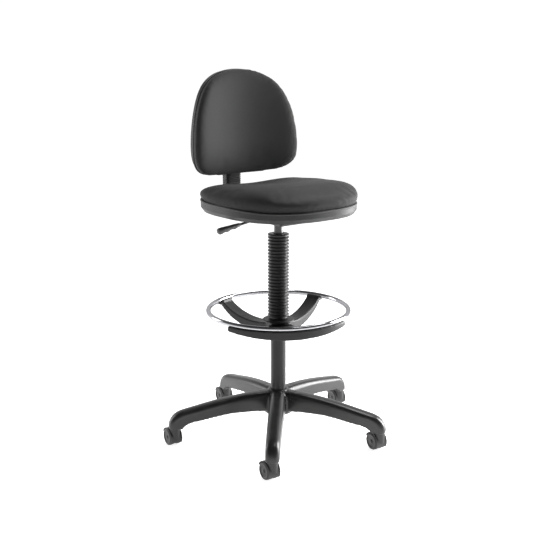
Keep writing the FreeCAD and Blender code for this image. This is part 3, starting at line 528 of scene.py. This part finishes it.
# %% Spider
spider = cast_copy("ring_spider", "spider_moulding")
settle(spider, "REMESH", mode="VOXEL", voxel_size=0.0022)
points = points_of(spider)
reach = np.hypot(points[:, 0], points[:, 1])
relax(spider, 5)
relax(spider, 14, np.clip((reach - 0.032) / 0.02, 0, 1) * np.clip((0.19 - reach) / 0.03, 0, 1))
dress(spider, "foot_ring", "spider_nylon")
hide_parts("ring_spider")
print("spider has", len(spider.data.polygons), "faces")

# %% [markdown]
# ## The corrugated cover
# The cover over the gas lift is a blow-moulded bellows with rounded folds. A profile of radius
# against height is turned round the column.


# %% Cover
def turned(name, profile, around, body, slot_name):
    """A closed profile of radius and height, turned round the column."""
    points = []
    for radius, z in profile:
        for step in range(around):
            angle = 2 * math.pi * step / around
            points.append((radius * math.cos(angle), radius * math.sin(angle), z))
    return add_piece(name, points, sweep_faces(len(profile), around, closed_loop=True), body, slot_name)


def cover_profile(low, high, outer, folds=25, cuff=0.007, depth=0.0055, wall=0.0011, steps=10):
    """Radius and height down the outside, then back up the inside."""
    root = outer - depth
    pitch = (high - low - 2 * cuff) / folds
    outside = [(root + 0.0008, low), (root + 0.0012, low + 0.6 * cuff)]
    for step in range(folds * steps + 1):
        share = step / steps
        wave = 0.5 - 0.5 * math.cos(2 * math.pi * share)
        outside.append((root + depth * wave ** 0.8, low + cuff + share * pitch))
    inside = [(radius - wall, z) for radius, z in reversed(outside[2:])]
    lid_hole = cylinder_radius + 0.0012
    lid = [(outer - 0.0012, high - cuff + 0.0016), (outer - 0.0004, high - 0.004),
           (outer - 0.0008, high - 0.0012), (outer - 0.003, high),
           (lid_hole + 0.002, high), (lid_hole, high - 0.0006), (lid_hole, high - 0.0022),
           (root - wall, high - 0.0022)]
    grip = [(stand_radius + 0.0005, low + cuff), (stand_radius + 0.0005, low)]
    return outside + lid + inside + grip


cover_low, cover_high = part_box("bellows")
COVER_SWELL = 0.0015      # folds stand out past the plain solid by this much
stand_low, stand_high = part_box("stand_tube")
tube_low, tube_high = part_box("gas_cylinder")
stand_radius = (stand_high.x - stand_low.x) / 2
cylinder_radius = (tube_high.x - tube_low.x) / 2
folds = cover_profile(cover_low.z, cover_high.z, cover_high.x + COVER_SWELL)
cover = turned("lift_cover", folds, 72, "base", "bellows_plastic")
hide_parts("bellows")
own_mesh(cover)

# %% [markdown]
# ## Cushions by simulation
# A cushion is foam under stretched cloth. The shape of the foam is drawn first, as rings that
# shrink towards the middle of the top, a little smaller than the finished pad. The mesh is then
# made even, and Blender's cloth with air pressure inside swells it until the cover is tight. How
# far each point may travel is capped, so that the pad keeps the maker's shape, and the face that
# lies on the board is pinned.


# %% Inflate
PAD_MESH = 0.005
SWELL_CAP = 0.003
SWELL_FRAMES = 20


def inflate(piece, resting):
    """Remeshes a pad and swells it under cloth; resting(points) marks what must not move."""
    settle(piece, "REMESH", mode="VOXEL", voxel_size=PAD_MESH)
    relax(piece, 3)
    start = points_of(piece)
    held = resting(start)
    pinned = piece.vertex_groups.new(name="resting")
    pinned.add([int(i) for i in np.flatnonzero(held)], 1.0, "REPLACE")
    cloth = piece.modifiers.new("swell", "CLOTH")
    cloth.settings.quality = 5
    cloth.settings.mass = 0.25
    cloth.settings.tension_stiffness = 12.0
    cloth.settings.compression_stiffness = 12.0
    cloth.settings.shear_stiffness = 6.0
    cloth.settings.bending_stiffness = 8.0
    cloth.settings.use_pressure = True
    cloth.settings.uniform_pressure_force = 4.0
    cloth.settings.vertex_group_mass = "resting"
    cloth.settings.effector_weights.gravity = 0.0
    cloth.point_cache.frame_start = 1
    cloth.point_cache.frame_end = SWELL_FRAMES
    for step in range(1, SWELL_FRAMES + 1):
        bpy.context.scene.frame_set(step)
    graph = bpy.context.evaluated_depsgraph_get()
    swollen = piece.evaluated_get(graph).to_mesh()
    flat = np.empty(len(swollen.vertices) * 3, np.float32)
    swollen.vertices.foreach_get("co", flat)
    piece.modifiers.clear()
    piece.vertex_groups.clear()
    bpy.context.scene.frame_set(1)
    travel = flat.reshape(-1, 3).astype(float) - start
    length = np.linalg.norm(travel, axis=1)
    print(piece.name, "swells", round(float(length.max()) * 1000, 1), "mm, capped at", SWELL_CAP * 1000)
    travel *= (np.minimum(length, SWELL_CAP) / np.maximum(length, 1e-9))[:, None]
    travel[held] = 0.0
    move_points(piece, start + travel)
    relax(piece, 26, (~held).astype(float))
    settle(piece, "SUBSURF", levels=1, render_levels=1)


# %% [markdown]
# ## The seat pad
# Seen from above the pad is a rounded square. The rear half is scooped, with a ridge along each
# side, and the front half rises to a crest and then falls away in a waterfall, so that it doesn't
# press under the knees. One function gives the height anywhere on the top.

# %% Seat pad shape
seat_low, seat_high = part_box("seat_cushion")
seat_rest_z = seat_low.z
seat_half_width = (seat_high.x - seat_low.x) / 2
widest_y = 0.0095
SEAT_CORNER = 2 / 2.6
SEAT_HEM_Z = seat_rest_z + 0.0004
SEAT_SIDE_Z = seat_rest_z + 0.018
SEAT_SWELL = 1.032
SEAT_DOME = 3.1
HEM_DROP = 0.0045
AROUND = 96                  # points round a pad
PAD_SHRINK = 0.002           # drawn this much small, since the simulation swells it
NEAR_MIDDLE = 0.0001
DOME_SHARES = [math.cos(math.pi / 2 * ring / 26) for ring in range(26)] + [NEAR_MIDDLE]


def seat_edge(angle, grow):
    """The seat's outline seen from above, made larger all round by grow."""
    c, s = math.cos(angle), math.sin(angle)
    along = (seat_high.y - widest_y if s > 0 else widest_y - seat_low.y) + grow
    x = (seat_half_width + grow) * math.copysign(abs(c) ** SEAT_CORNER, c)
    return x, widest_y + along * math.copysign(abs(s) ** SEAT_CORNER, s)


def ramp(value, stops):
    """Smooth curve through (place, height) stops."""
    for (x0, y0), (x1, y1) in zip(stops, stops[1:]):
        if value <= x1:
            share = max(0.0, (value - x0) / (x1 - x0))
            share = share * share * (3 - 2 * share)
            return y0 + (y1 - y0) * share
    return stops[-1][1]


CREST = [(-1.0, 0.046), (-0.66, 0.068), (-0.10, 0.061), (0.45, 0.054), (1.0, 0.030)]
SCOOP_DEPTH = 0.0140
SCOOP_Y = 0.075
SCOOP_REACH = 0.112


def hem_drop(y):
    """How far the hem hangs below the board's top, most at the front."""
    along = (widest_y - y) / (widest_y - seat_low.y)
    return HEM_DROP * max(0.0, min(1.0, along * 1.4)) ** 2


def seat_top(x, y):
    """Height of the top over the board at one place, before the edge is rounded."""
    along = (y - widest_y) / (seat_high.y - widest_y)
    away = ((x / SCOOP_REACH) ** 2 + ((y - SCOOP_Y) / SCOOP_REACH) ** 2)
    return ramp(along, CREST) - SCOOP_DEPTH * math.exp(-away)


def seat_pad_points(shrink, lower):
    """Rings over the underside, up the side and in over the domed top."""
    points = []
    for share in (NEAR_MIDDLE, 0.35, 0.7, 0.90, 0.985):
        for step in range(AROUND):
            x, y = seat_edge(2 * math.pi * step / AROUND, -0.001)
            points.append((x * share, widest_y + (y - widest_y) * share, SEAT_HEM_Z))
    for share, z in ((0.996, SEAT_HEM_Z + 0.0012), (1.002, SEAT_HEM_Z + 0.005), (1.010, SEAT_HEM_Z + 0.010),
                     (SEAT_SWELL, SEAT_HEM_Z + 0.016)):
        for step in range(AROUND):
            x, y = seat_edge(2 * math.pi * step / AROUND, -0.6 * shrink)
            points.append((x * share, widest_y + (y - widest_y) * share, z))
    for share in DOME_SHARES:
        dome = max(0.0, 1 - share ** SEAT_DOME) ** (1 / SEAT_DOME)
        for step in range(AROUND):
            x, y = seat_edge(2 * math.pi * step / AROUND, -shrink)
            x, y = x * share * SEAT_SWELL, widest_y + (y - widest_y) * share * SEAT_SWELL
            top = seat_rest_z + seat_top(x, y) - lower
            points.append((x, y, SEAT_SIDE_Z + (top - SEAT_SIDE_Z) * dome))
    return points


pad_points = seat_pad_points(PAD_SHRINK, PAD_SHRINK)
pad_faces = sweep_faces(len(pad_points) // AROUND, AROUND)
seat_pad = add_piece("seat_pad", pad_points, pad_faces, "seat", "upholstery")
seat_pad.parent = None
inflate(seat_pad, lambda p: p[:, 2] < SEAT_HEM_Z + 0.0006)

# %% [markdown]
# The cover is pulled down and stapled under the board, which gathers it into faint puckers along
# the hem. They are added after the simulation, because an even mesh of 5 mm can't hold them.


# %% Seat hem puckers
def pucker(piece, around_angle, depth_mask, count, amount):
    """Pushes points in and out along the hem, in uneven small folds."""
    points = points_of(piece)
    normals = np.empty(len(points) * 3, np.float32)
    piece.data.vertex_normals.foreach_get("vector", normals)
    normals = normals.reshape(-1, 3).astype(float)
    angle = around_angle(points)
    wave = np.sin(angle * count + 1.7 * np.sin(angle * 7)) * (0.6 + 0.4 * np.sin(angle * 11 + 2.0))
    move_points(piece, points + normals * (wave * depth_mask(points) * amount)[:, None])


pucker(seat_pad, lambda p: np.arctan2(p[:, 1] - widest_y, p[:, 0]),
       lambda p: np.exp(-((p[:, 2] - SEAT_HEM_Z - 0.006) / 0.007) ** 2), 84, 0.0003)

# %% [markdown]
# The hem hangs a little lower at the front, over the shell's rim. Only the lowest and outermost
# part of the pad moves.

# %% Seat hem
points = points_of(seat_pad)
low_part = np.clip((seat_rest_z + 0.020 - points[:, 2]) / 0.020, 0, 1)
outer_part = np.clip((np.hypot(points[:, 0], points[:, 1] - widest_y) / seat_half_width - 0.95) / 0.03, 0, 1)
points[:, 2] -= np.array([hem_drop(y) for y in points[:, 1]]) * low_part * outer_part
move_points(seat_pad, points)
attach(seat_pad, "seat")
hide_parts("seat_cushion")
seat_points = points_of(seat_pad)
print("seat pad", len(seat_pad.data.polygons), "faces, top at", round(float(seat_points[:, 2].max()), 4))

# %% [markdown]
# ## The back pad
# The back is a domed panel bent round a vertical axis in front of the sitter. The pad is drawn
# flat, in height and width, and each point is then pushed back along the bend. It swells at the
# small of the back and towards both sides, and rolls over at its edges.

# %% Back pad shape
back_low, back_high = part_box("back_cushion")
BEND_RADIUS = 0.400
PAD_THICKNESS = 0.038
BACK_WIDEST_DEPTH = 0.021
BACK_DOME = 2.4
BACK_SWELL = 1.045
cad_points = points_of(nodes["back_cushion"])
middle_band = np.abs(cad_points[:, 0]) < 0.02
face_y = float(cad_points[middle_band, 1].min()) if middle_band.any() else back_low.y + 0.047
bend_centre_y = face_y - BEND_RADIUS
back_half = (back_high.x - back_low.x) / 2
back_tall = back_high.z - back_low.z
BACK_EDGE = [(0.0, 0.0), (0.45, 0.005), (0.79, 0.036), (0.965, 0.12), (1.0, 0.26), (0.975, 0.46),
             (0.885, 0.67), (0.70, 0.855), (0.40, 0.965), (0.0, 1.0)]


def smooth_closed_edge(count):
    """The back's outline as count even points, through the maker's stops, both sides alike."""
    side = [(x * back_half, back_low.z + z * back_tall) for x, z in BACK_EDGE]
    stops = np.array(side + [(-x, z) for x, z in side[-2:0:-1]])
    dense = []
    for number in range(len(stops)):
        before, a, b, after = (stops[(number + k - 1) % len(stops)] for k in range(4))
        for t in np.linspace(0, 1, 24, endpoint=False):
            dense.append(0.5 * ((2 * a) + (b - before) * t + (2 * before - 5 * a + 4 * b - after) * t * t
                                + (3 * a - before - 3 * b + after) * t ** 3))
    dense = np.array(dense)
    steps = np.linalg.norm(np.roll(dense, -1, 0) - dense, axis=1)
    travelled = np.concatenate([[0], np.cumsum(steps)])
    wanted = np.linspace(0, travelled[-1], count, endpoint=False)
    closed = np.vstack([dense, dense[:1]])
    return np.column_stack([np.interp(wanted, travelled, closed[:, k]) for k in range(2)])


def bent(x, z, depth):
    """A place on the panel: depth 0 is the board, more is towards the sitter."""
    radius = BEND_RADIUS + PAD_THICKNESS - depth
    return (x, bend_centre_y + math.sqrt(radius * radius - x * x), z)


back_edge = smooth_closed_edge(AROUND)
back_middle = np.array([0.0, back_low.z + 0.44 * back_tall])


def back_pad_points(shrink, thin):
    """Rings over the face on the board, round the edge and in over the domed front."""
    points = []
    sizes = np.linalg.norm(back_edge - back_middle, axis=1)

    def add_ring(share, depth_at):
        for step in range(AROUND):
            inset = share * (sizes[step] - shrink) / sizes[step]
            x, z = back_middle + (back_edge[step] - back_middle) * inset
            points.append(bent(x, z, depth_at(x, z)))

    for share in (NEAR_MIDDLE, 0.4, 0.8, 0.99):
        add_ring(share, lambda x, z: 0.0004)
    sides = ((0.999, 0.0012), (1.007, 0.004), (1.016, 0.009), (1.025, 0.015), (BACK_SWELL, 0.020))
    for share, depth in sides:
        add_ring(share, lambda x, z, d=depth: d)
    for share in DOME_SHARES:
        dome = max(0.0, 1 - share ** BACK_DOME) ** (1 / BACK_DOME)

        def depth_at(x, z, dome=dome):
            lumbar = 0.006 * math.exp(-((z - back_low.z - 0.085) / 0.060) ** 2)
            wings = 0.013 * (x / back_half) ** 2
            full = PAD_THICKNESS - thin + lumbar + wings
            return BACK_WIDEST_DEPTH + (full - BACK_WIDEST_DEPTH) * dome

        add_ring(BACK_SWELL * share, depth_at)
    return points


pad_points = back_pad_points(PAD_SHRINK, PAD_SHRINK)
pad_faces = sweep_faces(len(pad_points) // AROUND, AROUND)
back_pad = add_piece("back_pad", pad_points, pad_faces, "backrest", "upholstery")
back_pad.parent = None


def depth_of(points):
    """How far each point stands in front of the board."""
    radius = np.hypot(points[:, 0], points[:, 1] - bend_centre_y)
    return BEND_RADIUS + PAD_THICKNESS - radius


inflate(back_pad, lambda p: depth_of(p) < 0.001)
pucker(back_pad, lambda p: np.arctan2(p[:, 2] - back_middle[1], p[:, 0]),
       lambda p: np.exp(-((depth_of(p) - 0.007) / 0.007) ** 2), 96, 0.0004)
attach(back_pad, "backrest")
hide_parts("back_cushion")
print("back pad", len(back_pad.data.polygons), "faces")

# %% [markdown]
# The seam between cover and shell is closed by a thin black piping, which also covers most of the
# plywood's edge. It is a round cord swept along the shell's rim.


# %% Piping
def piping(name, path, outwards, radius, body):
    """A closed round cord along path; outwards[i] is the way out of the rim at path[i]."""
    around = 12
    cord_points = []
    for step, place in enumerate(path):
        along = (path[(step + 1) % len(path)] - path[step - 1]).normalized()
        out = (outwards[step] - along * outwards[step].dot(along)).normalized()
        side = along.cross(out)
        for turn in range(around):
            angle = 2 * math.pi * turn / around
            cord_points.append(place + out * radius * math.cos(angle) + side * radius * math.sin(angle))
    faces = sweep_faces(len(path), around, closed_loop=True)
    return add_piece(name, cord_points, faces, body, "boot_rubber")


PIPING_RADIUS = 0.0033
PIPING_RISE = 0.0014         # over the top of the seat's board
PIPING_STEPS = 160
rim = [seat_edge(2 * math.pi * step / PIPING_STEPS, -0.0014) for step in range(PIPING_STEPS)]
rim_places = [Vector((x, y, seat_rest_z + PIPING_RISE - 0.8 * hem_drop(y))) for x, y in rim]
piping("seat_piping", rim_places, [Vector((x, y - widest_y, 0)) for x, y in rim], PIPING_RADIUS, "seat")
back_rim = smooth_closed_edge(PIPING_STEPS)
rim_places = [Vector(bent(x, z, 0.0012)) for x, z in
              (back_middle + (edge - back_middle) * 0.993 for edge in back_rim)]
back_centre = Vector(bent(0.0, back_middle[1], 0.0012))
piping("back_piping", rim_places, [place - back_centre for place in rim_places], PIPING_RADIUS, "backrest")
print("piping of", round(PIPING_RADIUS * 1000, 1), "mm radius round both pads")

# %% [markdown]
# ## The rubber boot
# A ribbed boot hides the steel bar between seat and back. Its section is a rounded oblong, and
# the ribs are simply that section growing and shrinking as it climbs.


# %% Boot
def oblong(half_x, half_y, corner, around):
    """Points round an oblong with round corners."""
    points = []
    for step in range(around):
        angle = 2 * math.pi * (step + 0.5) / around
        c, s = math.cos(angle), math.sin(angle)
        power = 2 / corner
        points.append((half_x * math.copysign(abs(c) ** power, c),
                       half_y * math.copysign(abs(s) ** power, s)))
    return points


boot_low, boot_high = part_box("bar_boot")
boot_middle = (boot_low + boot_high) / 2
boot_half = (boot_high - boot_low) / 2
RIB_PITCH = 0.0060
RIB_DEPTH = 0.0013
BOOT_SWELL = 0.0044
BOOT_ROWS, BOOT_AROUND = 113, 64
boot_points = []
boot_height = boot_high.z - boot_low.z
for row in range(BOOT_ROWS):
    share = row / (BOOT_ROWS - 1)
    z = boot_low.z + 0.0003 + share * (boot_height - 0.0006)
    rib = RIB_DEPTH * (0.5 + 0.5 * math.cos(2 * math.pi * share * boot_height / RIB_PITCH)) ** 1.5
    end = 0.002 if row in (0, BOOT_ROWS - 1) else 0.0
    half_x = boot_half.x + BOOT_SWELL - rib - end
    half_y = boot_half.y + BOOT_SWELL - rib - end
    for x, y in oblong(half_x, half_y, 5.0, BOOT_AROUND):
        boot_points.append((boot_middle.x + x, boot_middle.y + y, z))
boot_faces = sweep_faces(BOOT_ROWS, BOOT_AROUND)
boot = add_piece("ribbed_boot", boot_points, boot_faces, "back_bar", "boot_rubber")
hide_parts("bar_boot")
print("boot is", round(boot_height, 3), "m tall, one rib every", round(RIB_PITCH * 1000, 1), "mm")

# %% [markdown]
# ## Hub caps
# The axle of each castor ends under a small domed cap that turns with its wheel.


# %% Hub caps
CAP_RADIUS = 0.0065
CAP_AROUND = 24
CAP_PROFILE = [(0.0001, 0.0022), (0.003, 0.0020), (0.0052, 0.0012), (CAP_RADIUS, 0.0), (CAP_RADIUS, -0.0015)]


def hub_cap(wheel):
    """The cap on the outer end of one wheel's axle."""
    axle = wheel.split("_wheel_")[0] + "_axle"
    axle_low, axle_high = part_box(axle)
    middle = (axle_low + axle_high) / 2
    low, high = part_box(wheel)
    outwards = ((low + high) / 2 - middle).normalized()
    side = outwards.cross(Vector((0, 0, 1))).normalized()
    up = side.cross(outwards)
    half_length = max(abs((Vector(point) - middle).dot(outwards)) for point in points_of(nodes[axle]))
    cap_points = []
    for radius, height in CAP_PROFILE:
        for step in range(CAP_AROUND):
            angle = 2 * math.pi * step / CAP_AROUND
            cap_points.append(middle + outwards * (half_length - 0.0008 + height)
                              + side * radius * math.cos(angle) + up * radius * math.sin(angle))
    cap_faces = sweep_faces(len(CAP_PROFILE), CAP_AROUND)
    return add_piece(wheel.replace("_wheel_", "_cap_"), cap_points, cap_faces, wheel, "caster_wheel")


caps = [hub_cap(row["node"]) for row in frame["record"]["subparts"] if "_wheel_" in row["node"]]
print(len(caps), "hub caps")

# %% [markdown]
# ## The lever grip
# The height lever ends in a moulded paddle: flat on top for the fingers to push, with three soft
# scallops underneath. Sections are set along the rod, each with its own width, top and underside.

# %% Lever grip
grip_low, grip_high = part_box("lever_grip")
pin_low, pin_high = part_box("lever_pivot_pin")
pivot = (pin_low + pin_high) / 2
DROOP = math.radians(8.5)
outwards = Vector((-math.cos(DROOP), 0.0, -math.sin(DROOP)))
upwards = Vector((-math.sin(DROOP), 0.0, math.cos(DROOP)))
far = (pivot.x - grip_low.x) / math.cos(DROOP) - 0.0012
near = (pivot.x - grip_high.x) / math.cos(DROOP) + 0.0012
grip_points = []
GRIP_ROWS, GRIP_AROUND = 64, 40
for row in range(GRIP_ROWS):
    share = row / (GRIP_ROWS - 1)
    along = near + (far - near) * share
    close = min(1.0, share / 0.05) * min(1.0, (1.0 - share) / 0.06)
    close = math.sqrt(max(0.02, 1 - (1 - close) ** 2))
    half_width = ramp(share, [(0, 0.0055), (0.25, 0.0080), (0.8, 0.0105), (1, 0.0100)]) * close
    top = ramp(share, [(0, 0.0056), (0.3, 0.0070), (0.85, 0.0090), (1, 0.0084)]) * close
    scallop = 0.0012 * math.cos(2 * math.pi * (share * 3.2 + 0.1)) * min(1.0, 4 * share)
    under = (ramp(share, [(0, 0.0056), (0.3, 0.0072), (0.85, 0.0094), (1, 0.0088)]) + scallop) * close
    for step in range(GRIP_AROUND):
        angle = 2 * math.pi * step / GRIP_AROUND
        c, s = math.cos(angle), math.sin(angle)
        side = math.copysign(abs(c) ** 0.8, c) * half_width
        lift = math.copysign(abs(s) ** 0.8, s) * (top if s > 0 else under)
        grip_points.append(pivot + outwards * along + Vector((0, side, 0)) + upwards * lift)
grip = add_piece("lever_paddle", grip_points, sweep_faces(GRIP_ROWS, GRIP_AROUND), "lever", "grip_plastic")
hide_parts("lever_grip")
print("lever paddle is", round(far - near, 3), "m long")

# %% [markdown]
# ## Floor and light
# The floor is plain and pale and carries on to the horizon. The room is bright in front of the
# camera and dimmer overhead and behind it, which keeps the dark plastics dark, and a bright band
# low down keeps the backdrop white from every side. Three soft panels are added: a strong one at
# the camera's right, which puts the long highlight down the front leg and along the right edges,
# and weaker ones above and at the left.

# %% Floor
bpy.ops.mesh.primitive_circle_add(vertices=96, radius=14.0, fill_type="NGON", location=(0, 0, -0.0004))
floor = bpy.context.object
floor.name = "studio_floor"
floor_finish, floor_wires, floor_shader = begin("floor_paper")
paper = floor_wires.noise(floor_wires.put("ShaderNodeTexCoord", out="Object"), 1.5, 3.0)
floor_wires.feed(floor_shader, "Base Color", floor_wires.colour(paper, grey(0.90), grey(0.92)))
floor_shader.inputs["Roughness"].default_value = 0.95
floor_shader.inputs["Specular IOR Level"].default_value = 0.1
floor_shader.inputs["Emission Color"].default_value = (1.0, 1.0, 1.0, 1.0)
floor_shader.inputs["Emission Strength"].default_value = 0.84
floor.data.materials.append(floor_finish)

# %% Light
world = bpy.data.worlds.new("studio_room")
bpy.context.scene.world = world
world.use_nodes = True
sky = world.node_tree.nodes["Background"]
room = Wiring(world.node_tree)
heading = math.radians(CAMERA_TURN)
direction = room.put("ShaderNodeTexCoord", out="Generated")
climb = room.put("ShaderNodeSeparateXYZ", Vector=direction).node.outputs[2]
ceiling = room.put("ShaderNodeMapRange", settings={"interpolation_type": "SMOOTHSTEP"}, Value=climb,
                   From_Min=0.30, From_Max=0.65, To_Min=1.0, To_Max=0.25)
behind = room.put("ShaderNodeVectorMath", out=1, settings={"operation": "DOT_PRODUCT"}, i0=direction,
                  i1=(-math.sin(heading), -math.cos(heading), 0.0))
dim_side = room.put("ShaderNodeMapRange", settings={"interpolation_type": "SMOOTHSTEP"}, Value=behind,
                    From_Min=-0.80, From_Max=-0.10, To_Min=1.0, To_Max=0.24)
horizon = room.put("ShaderNodeMapRange", settings={"interpolation_type": "SMOOTHSTEP"}, Value=climb,
                   From_Min=0.16, From_Max=0.30, To_Min=0.92, To_Max=0.0)
room.feed(sky, "Color", room.sum("MULTIPLY", ceiling, room.sum("MAXIMUM", dim_side, horizon)))
sky.inputs["Strength"].default_value = 1.02
bpy.context.scene.view_settings.view_transform = "Standard"

right = Vector((math.cos(heading), -math.sin(heading), 0))
ahead = Vector((math.sin(heading), math.cos(heading), 0))


def panel(name, place, aim, width, height, power):
    """One soft light panel, turned to face a point."""
    data = bpy.data.lights.new(name, "AREA")
    data.shape = "RECTANGLE"
    data.size, data.size_y = width, height
    data.energy = power
    lamp = bpy.data.objects.new(name, data)
    bpy.context.scene.collection.objects.link(lamp)
    lamp.location = place
    lamp.rotation_euler = (Vector(aim) - Vector(place)).to_track_quat("-Z", "Y").to_euler()
    return lamp


middle = Vector((0, 0, 0.6))
panel("right_panel", middle + right * 2.4 + ahead * 0.9 + Vector((0, 0, 0.5)), middle,
      width=1.2, height=2.2, power=150)
panel("top_panel", middle + Vector((0, 0, 2.4)) + right * 0.5 + ahead * 0.8, middle,
      width=1.8, height=1.8, power=60)
panel("left_panel", middle - right * 2.4 + ahead * 1.0 + Vector((0, 0, 0.4)), middle,
      width=0.8, height=1.8, power=18)
print("three panels and a room of strength", round(sky.inputs["Strength"].default_value, 2))
